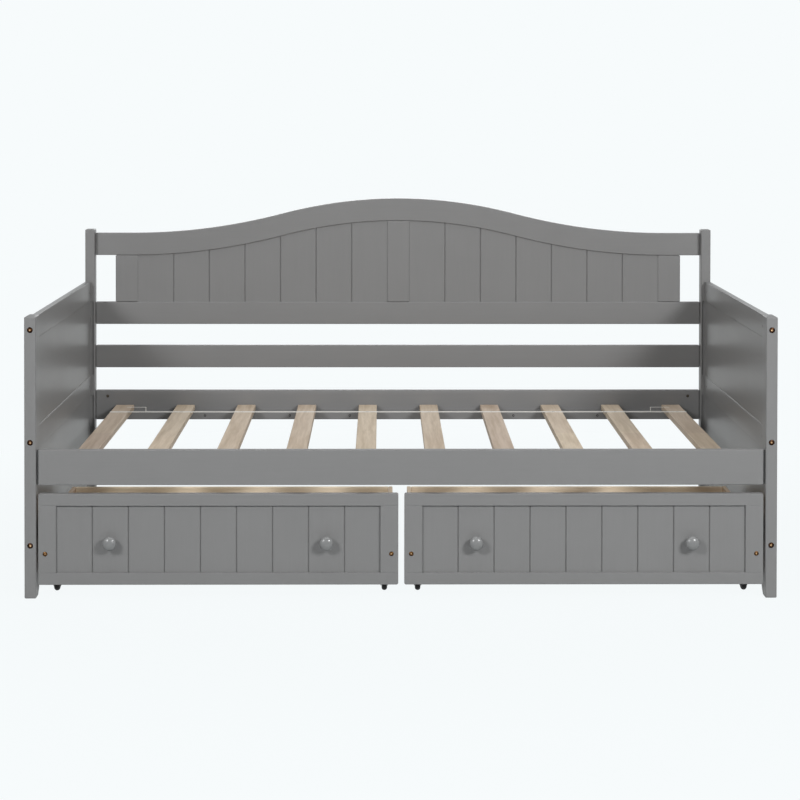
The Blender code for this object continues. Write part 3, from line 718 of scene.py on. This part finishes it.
post_low, post_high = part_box("front_post_right")
back_low, back_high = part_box("back_post_right")
bolt_below_rail_top = 0.019
frame_bolt_sizes = (bolt_head_diameter, bolt_head_height, bolt_dome, bolt_socket)
end_bolt_x = (post_low.x + post_high.x) / 2
side_bolt_z = side_rail_high.z - bolt_below_rail_top
front_bolt_y = (side_rail_low.y + side_rail_high.y) / 2
back_bolt_y = back_high.y - (side_rail_high.y - side_rail_low.y) / 2
rail_middles = [middle_height("end_%s_rail_right" % rail) for rail in ("top", "middle", "bottom")]
back_bolt_heights = [side_bolt_z, middle_height("back_lower_rail"), middle_height("back_upper_rail"),
                     crest_low.z + crest_tall / 2]
for side, word in ((-1, "left"), (1, "right")):
    front_places = [(side * end_bolt_x, post_low.y, z) for z in rail_middles]
    rear_places = [(side * end_bolt_x, back_high.y, z) for z in rail_middles]
    outer_front = [(side * post_high.x, front_bolt_y, side_bolt_z)]
    outer_back = [(side * back_high.x, back_bolt_y, z) for z in back_bolt_heights]
    for label, places, axis in (("front", front_places, (0, -1, 0)), ("rear", rear_places, (0, 1, 0)),
                                ("rail", outer_front, (side, 0, 0)), ("back", outer_back, (side, 0, 0))):
        make_bolts("bolts_%s_%s" % (label, word), places, axis, frame_bolt_sizes, bolt_head_depth,
                   bronze, "bed_frame")
print("bolt heads", 2 * (len(rail_middles) * 2 + 1 + len(back_bolt_heights)))

# %% [markdown]
# ## Barrel nuts
# Behind each bolt a steel barrel crosses the rail. Its end shows in a round hole on the inner face, with
# a slot for a screwdriver. A short lathe profile makes the barrel, and a block cuts the slot.

# %% Barrel nuts
nut_diameter = 0.0094
nut_length = 0.0045
nut_depth = 0.0008
nut_slot_width = 0.0016
nut_slot_depth = 0.0012
nut_from_post = 0.038


def make_nuts(name, places, axis, material):
    """Slotted ends of barrel nuts in their holes; places lie on the face, axis points out of it."""
    out = Vector(axis)
    radius = nut_diameter / 2
    profile = [(0, -nut_length), (radius, -nut_length), (radius, -nut_slot_width / 4),
               (radius - nut_slot_width / 4, 0), (0, 0)]
    middles = [Vector(p) - out * nut_depth for p in places]
    barrels = [lathe(profile, axis, middle, middle_sides) for middle in middles]
    piece = place_piece(name, joined(barrels), material, "bed_frame")
    reach = Vector([nut_slot_depth if share else radius for share in axis])
    reach.z = nut_slot_width / 2
    cut(piece, joined([block(middle - reach, middle + reach) for middle in middles]))


start_y, end_y = post_high.y + nut_from_post, back_low.y - nut_from_post
for side, word in ((-1, "left"), (1, "right")):
    places = []
    for height, rail in zip(rail_middles, ("top", "middle", "bottom")):
        low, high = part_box("end_%s_rail_%s" % (rail, word))
        inner_x = high.x if side < 0 else low.x
        places += [(inner_x, y, height) for y in (start_y, end_y)]
    make_nuts("barrel_nuts_end_" + word, places, (-side, 0, 0), paint_y)
for word, post_x, face_y, facing, steel_finish in (
        ("front", post_low.x, side_rail_high.y, 1, black_steel),
        ("back", back_low.x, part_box("back_side_rail")[0].y, -1, dull_steel)):
    places = [(side * (post_x - nut_from_post), face_y, side_bolt_z) for side in (-1, 1)]
    make_nuts("barrel_nuts_" + word, places, (0, facing, 0), steel_finish)
print("nut slots", nut_slot_width)

# %% [markdown]
# ## Ledger screws
# The ledgers are glued and screwed to the side rails. The screws are driven from the front of each
# ledger, so their dark heads show in a row under the slats, at uneven distances where the worker put them.

# %% Screws
screw_places_x = (-0.880, -0.615, -0.345, -0.154, 0.108, 0.367, 0.635, 0.880)
screw_head_diameter = 0.0075
screw_recess = 0.0012


def screw_head(place, axis, diameter):
    """A bmesh flat screw head with a sunk cross, drawn as a dished disk."""
    radius = diameter / 2
    profile = [(0, -screw_recess), (radius / 3, -screw_recess), (radius / 2, -screw_recess / 4),
               (radius * 0.9, 0), (radius, -screw_recess / 3), (radius, -screw_recess * 1.5),
               (0, -screw_recess * 1.5)]
    return lathe(profile, axis, place, small_sides)


for word, face, out in (("front", 1, 1), ("back", 0, -1)):
    face_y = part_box("ledger_" + word)[face].y
    height = middle_height("ledger_" + word)
    heads = [screw_head((x, face_y + out * screw_recess / 3, height), (0, out, 0), screw_head_diameter)
             for x in screw_places_x]
    place_piece("ledger_screws_" + word, joined(heads), black_steel, "bed_frame")
print("screws in each ledger", len(screw_places_x))

# %% [markdown]
# ## Drawer fronts
# A drawer front is a frame of four boards: the top and bottom rails run right across, and the stiles
# stand between them. After painting, the joints show as hair lines, because each board's edges were broken
# with sandpaper. So each board is its own block with finely eased edges, and the outer edges of the
# frame are rounded more. The panel lies a little deeper than in the solids, for the dark line under the
# top rail that the photograph shows.

# %% Drawer fronts
front_rail_height = 0.032
front_stile_width = 0.0475
joint_ease = 0.0007
outer_ease = 0.0022
corner_radius = 0.0048
stile_bolt_inset = 0.0185
stile_bolt_height = 0.1185
stile_bolt_hole = 0.013
stile_bolt_hole_depth = 0.003
stile_bolt_sizes = (0.0124, 0.0022, 0.0012, 0.0052)
stile_bolt_depth = 0.0006
panel_deeper = 0.002            # the panel of a drawer lies this much further back than its solid


def inside_outline(edge, outer_low, outer_high):
    """How far the middle of an edge lies inside the outline of the front: sideways and in height."""
    middle = (edge.verts[0].co + edge.verts[1].co) / 2
    return [min(middle[axis] - outer_low[axis], outer_high[axis] - middle[axis]) for axis in (0, 2)]


def frame_board(low, high, outer_low, outer_high):
    """A bmesh board of the front: its outline is rounded, the corners more, and joints are just broken."""
    mesh = block(low, high)
    corners = [e for e in mesh.edges if max(inside_outline(e, outer_low, outer_high)) < joint_ease]
    ease(mesh, corners, corner_radius, segments=5)
    outline = []
    for edge in mesh.edges:
        level = abs(edge.verts[0].co.y - edge.verts[1].co.y) < joint_ease
        if level and min(inside_outline(edge, outer_low, outer_high)) < corner_radius / 2:
            if edge.calc_face_angle() > sharp_from:
                outline.append(edge)
    ease(mesh, outline, outer_ease)
    sharp = [e for e in mesh.edges if len(e.link_faces) == 2 and e.calc_face_angle() > sharp_from]
    ease(mesh, sharp, joint_ease, segments=2)
    return mesh


def make_front(word):
    """The four boards of one drawer front with its two bolts, and the panel that they hold."""
    body = "drawer_" + word
    low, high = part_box(body + "_front_frame")
    rail_top, rail_bottom = high.z - front_rail_height, low.z + front_rail_height
    boards = {
        "top_rail": ((low.x, low.y, rail_top), (high.x, high.y, high.z)),
        "bottom_rail": ((low.x, low.y, low.z), (high.x, high.y, rail_bottom)),
        "left_stile": ((low.x, low.y, rail_bottom), (low.x + front_stile_width, high.y, rail_top)),
        "right_stile": ((high.x - front_stile_width, low.y, rail_bottom), (high.x, high.y, rail_top)),
    }
    bolts = {"left_stile": (low.x + stile_bolt_inset, low.y, stile_bolt_height),
             "right_stile": (high.x - stile_bolt_inset, low.y, stile_bolt_height)}
    hole = [(0, -stile_bolt_hole_depth), (stile_bolt_hole / 2, -stile_bolt_hole_depth),
            (stile_bolt_hole / 2, stile_bolt_hole_depth), (0, stile_bolt_hole_depth)]
    for label, corners in boards.items():
        mesh = frame_board(*corners, low, high)
        finish = paint_z if label in bolts else paint_x
        replaced = [body + "_front_frame"] if label == "top_rail" else ()
        piece = place_piece(body + "_" + label, mesh, finish, body, replaced)
        if label in bolts:
            cut(piece, lathe(hole, (0, -1, 0), bolts[label], head_sides))
    make_bolts("bolts_" + body, list(bolts.values()), (0, -1, 0), stile_bolt_sizes, stile_bolt_depth,
               bright_brass, body)
    panel = dress(body + "_beadboard", paint_z, body)
    for vert in panel.data.vertices:
        vert.co.y += panel_deeper


for word in ("left", "right"):
    make_front(word)
print("drawer fronts made")

# %% [markdown]
# ## Knobs
# The knobs are turned on a lathe, so they are turned here too: a foot, a slim neck and a nearly round
# head. They carry a glossier coat than the boards, which is why two lamps show as two small highlights.

# %% Knobs
knob_neck_share = 0.42          # neck to head
knob_foot_share = 0.53
knob_foot_height = 0.003
knob_head_length = 0.024
knob_arc_steps = 18
knob_fuller = 0.0009            # the turned head swells this much past the solid's, seen in the photograph


def make_knob(node, body):
    """One turned knob in the place of its solid."""
    low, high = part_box(node)
    radius = (high.x - low.x) / 2 + knob_fuller
    length = high.y - low.y
    head = knob_head_length / 2
    neck = radius * knob_neck_share
    start = math.asin(knob_neck_share)
    profile = [(0, -panel_deeper), (radius * knob_foot_share, -panel_deeper),
               (radius * knob_foot_share, knob_foot_height / 2), (neck, knob_foot_height)]
    for i in range(knob_arc_steps):
        angle = start + (math.pi - start) * i / knob_arc_steps
        profile.append((radius * math.sin(angle), length - head - head * math.cos(angle)))
    profile.append((0, length))
    seat = Vector(((low.x + high.x) / 2, high.y, (low.z + high.z) / 2))
    mesh = lathe(profile, (0, -1, 0), seat, fine_sides)
    place_piece("turned_" + node, mesh, knob_paint, body, [node])


for word in ("left", "right"):
    for side in ("left", "right"):
        make_knob("drawer_%s_knob_%s" % (word, side), "drawer_" + word)
print("knobs turned")

# %% [markdown]
# ## Drawer boxes and casters
# The box is raw pine: two sides, a back and a thin plywood floor in a groove. In the solids the caster
# forks are one with the floor. Here the floor is its own sheet, and each caster is what it really is: a
# plate with two bent cheeks, a riveted pin, and a wheel with a rounded tread.

# %% Drawer boxes
for word in ("left", "right"):
    body = "drawer_" + word
    for side in ("left", "right"):
        dress("%s_side_%s" % (body, side), box_pine_y, body)
    # The back's lighter pine is painted light.
    dress(body + "_back", box_pine_x_painted_light, body)
print("drawer boxes dressed")

# %% Forks of the casters
plate_length = 0.042
plate_width = 0.030
fork_steel = 0.0016             # thickness of the plate and the cheeks
cheek_length = 0.026
cheek_end_radius = 0.008
cheek_arc_steps = 12
pin_radius = 0.0024
pin_head_radius = 0.0045
pin_head_height = 0.0012
plate_screw_inset = 0.006


def fork_cheek(middle, side, inner_x, top):
    """A bmesh cheek of a fork: a strip that hangs from the plate and ends in a round about the pin."""
    outline = [(inner_x, middle.y - cheek_length / 2, top), (inner_x, middle.y + cheek_length / 2, top)]
    for i in range(cheek_arc_steps + 1):
        angle = math.pi * i / cheek_arc_steps
        outline.append((inner_x, middle.y + cheek_end_radius * math.cos(angle),
                        middle.z - cheek_end_radius * math.sin(angle)))
    mesh = bmesh.new()
    face = mesh.faces.new([mesh.verts.new(point) for point in outline])
    grown = bmesh.ops.extrude_face_region(mesh, geom=[face])["geom"]
    moved = [item for item in grown if isinstance(item, bmesh.types.BMVert)]
    bmesh.ops.translate(mesh, vec=(side * fork_steel, 0, 0), verts=moved)
    bmesh.ops.recalc_face_normals(mesh, faces=mesh.faces)
    return mesh


def fork_shapes(middle, wheel_half, top):
    """Plate, two cheeks and riveted pin of a fork; middle is the wheel's, top the drawer's underside."""
    plate = plank((middle.x - plate_width / 2, middle.y - plate_length / 2, top - fork_steel),
                  (middle.x + plate_width / 2, middle.y + plate_length / 2, top), fork_steel / 4)
    cheek_x = wheel_half + fork_steel / 2
    cheeks = [fork_cheek(middle, side, middle.x + side * cheek_x, top - fork_steel) for side in (-1, 1)]
    reach = cheek_x + fork_steel
    half_pin = [(pin_radius, reach), (pin_head_radius, reach),
                (pin_head_radius, reach + pin_head_height / 2), (0, reach + pin_head_height)]
    profile = [(radius, -distance) for radius, distance in reversed(half_pin)] + half_pin
    return [plate, *cheeks, lathe(profile, (1, 0, 0), middle, middle_sides)]


def plate_screws(middle, underside):
    """The heads of the four small screws that hold a plate."""
    across, along = plate_width / 2 - plate_screw_inset / 2, plate_length / 2 - plate_screw_inset
    places = [(middle.x + dx * across, middle.y + dy * along, underside) for dx in (-1, 1) for dy in (-1, 1)]
    return [screw_head(place, (0, 0, -1), screw_head_diameter / 2) for place in places]


# %% Wheels of the casters
wheel_play = 0.0003             # between the bore and the pin
hub_radius = 0.007
web_depth = 0.0016              # how far the side of a wheel is sunk round its hub
tread_crown = 0.007             # how far the tread falls away to its edges
tread_steps = 8


def wheel_shape(middle, half, radius):
    """A bmesh wheel: a hub with its bore, a sunk web and a tread that is rounded across."""
    crown_start = radius - tread_crown
    outer = [(pin_radius + wheel_play, half), (hub_radius - web_depth / 3, half),
             (hub_radius, half - web_depth / 3), (hub_radius + web_depth, half - web_depth),
             (crown_start - web_depth, half - web_depth), (crown_start, half - web_depth / 4)]
    for i in range(tread_steps):
        angle = math.pi / 2 * i / tread_steps
        outer.append((radius - tread_crown * (1 - math.sin(angle)), half * math.cos(angle)))
    profile = outer + [(radius, 0)] + [(r, -d) for r, d in reversed(outer)] + [outer[0]]
    return lathe(profile, (1, 0, 0), middle, fine_sides)


# %% Floors and casters
floor_thickness = 0.006
floor_ease = 0.0004


def make_caster(word, label, top):
    """One caster: its fork and screws ride on the drawer, and its wheel rides on a body of its own."""
    drawer, node = "drawer_" + word, "drawer_%s_wheel_%s" % (word, label)
    low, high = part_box(node)
    middle = (low + high) / 2
    half, radius = (high.x - low.x) / 2, (high.z - low.z) / 2
    shapes = fork_shapes(middle, half, top)
    place_piece("caster_fork_%s_%s" % (word, label), joined(shapes), black_steel, drawer)
    screws = plate_screws(middle, top - fork_steel)
    place_piece("caster_screws_%s_%s" % (word, label), joined(screws), zinc_steel, drawer)
    wheel = wheel_shape(middle, half, radius)
    place_piece("rolling_" + node, wheel, black_plastic, node + "_turning", [node])


for word in ("left", "right"):
    node = "drawer_%s_floor" % word
    low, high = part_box(node)
    underside = high.z - floor_thickness
    sheet = plank((low.x, low.y, underside), high, floor_ease)
    place_piece("plywood_floor_" + word, sheet, thin_ply, "drawer_" + word, [node])
    for depth_word in ("front", "back"):
        for side in ("left", "right"):
            make_caster(word, "%s_%s" % (depth_word, side), underside)
print("casters under the floors")

# %% [markdown]
# ## The stage
# The photograph has no room: the bed stands in a plain, very pale field. The world and the floor show that
# pale colour to the camera and to reflections. Two lamps, left and right and above the camera, throw the
# crossed shadows of the knobs and the end posts, and a larger, weaker one over the bed lights the slats. A
# faint one behind it only serves someone who walks round the bed. The floor keeps a faint shadow.

# %% World
pale = linear("#F7FBFC")


def seen_directly(tree):
    """1 for rays of the camera, of reflections and through clear matter, 0 for those of the lighting."""
    rays = add(tree, "LightPath").outputs
    mirrored = add(tree, "Math", {0: rays["Is Camera Ray"], 1: rays["Is Glossy Ray"]}, operation="MAXIMUM")
    return add(tree, "Math", {0: mirrored, 1: rays["Is Transmission Ray"]}, operation="MAXIMUM")


world = bpy.data.worlds.new("pale studio")
bpy.context.scene.world = world
world.use_nodes = True
tree = world.node_tree
tree.nodes.clear()
ambient = add(tree, "Background", {"Color": linear("#FFFFFF"), "Strength": 0.05})
shown = add(tree, "Background", {"Color": pale, "Strength": 1.0})
either = add(tree, "MixShader", {0: seen_directly(tree), 1: ambient, 2: shown})
add(tree, "OutputWorld", {"Surface": either})

# %% Floor
floor_reach = 30
floor_drop = 0.0005             # under the feet and wheels
shadow_share = 0.03             # how much of the real shadow the camera sees
shadow_near, shadow_far = 1.0, 2.2
floor_mesh = bmesh.new()
bmesh.ops.create_grid(floor_mesh, x_segments=1, y_segments=1, size=floor_reach)
floor_data = bpy.data.meshes.new("studio_floor")
bmesh.ops.translate(floor_mesh, vec=(0, 0, -floor_drop), verts=floor_mesh.verts)
floor_mesh.to_mesh(floor_data)
floor_mesh.free()
floor = bpy.data.objects.new("studio_floor", floor_data)
bpy.context.scene.collection.objects.link(floor)
floor_material = bpy.data.materials.new("pale floor")
floor_material.use_nodes = True
tree = floor_material.node_tree
tree.nodes.clear()
matte = add(tree, "BsdfDiffuse", {"Color": linear("#C6CACB")})
glow = add(tree, "Emission", {"Color": pale, "Strength": 1.0})
place = add(tree, "TexCoord").outputs["Object"]
away = add(tree, "VectorMath", {0: place}, operation="LENGTH")
fade = add(tree, "MapRange", {"Value": away.outputs["Value"], "From Min": shadow_near,
                              "From Max": shadow_far, "To Min": 1 - shadow_share, "To Max": 1.0},
           interpolation_type="SMOOTHSTEP")
share = add(tree, "Math", {0: seen_directly(tree), 1: fade}, operation="MULTIPLY")
mixed = add(tree, "MixShader", {0: share, 1: matte, 2: glow})
add(tree, "OutputMaterial", {"Surface": mixed})
floor_data.materials.append(floor_material)


# %% Lamps
def make_lamp(name, place, target, size, power):
    """A square soft lamp that looks at a target and isn't seen itself."""
    light = bpy.data.lights.new(name, "AREA")
    light.size = size
    light.energy = power
    lamp = bpy.data.objects.new(name, light)
    lamp.location = place
    lamp.rotation_euler = (Vector(target) - Vector(place)).to_track_quat("-Z", "Y").to_euler()
    lamp.visible_camera = False
    bpy.context.scene.collection.objects.link(lamp)


make_lamp("lamp_left", (-2.9, -4.1, 2.8), (0, 0, 0.3), 1.1, 118)
make_lamp("lamp_right", (2.9, -4.1, 2.8), (0, 0, 0.3), 1.1, 163)
make_lamp("lamp_above", (0, -0.6, 4.2), (0, 0, 0.3), 3.0, 62)
make_lamp("lamp_behind", (0, 5.2, 2.0), (0, 0, 0.5), 2.5, 40)

# %% Finish
scene = bpy.context.scene
scene.view_settings.view_transform = "Standard"
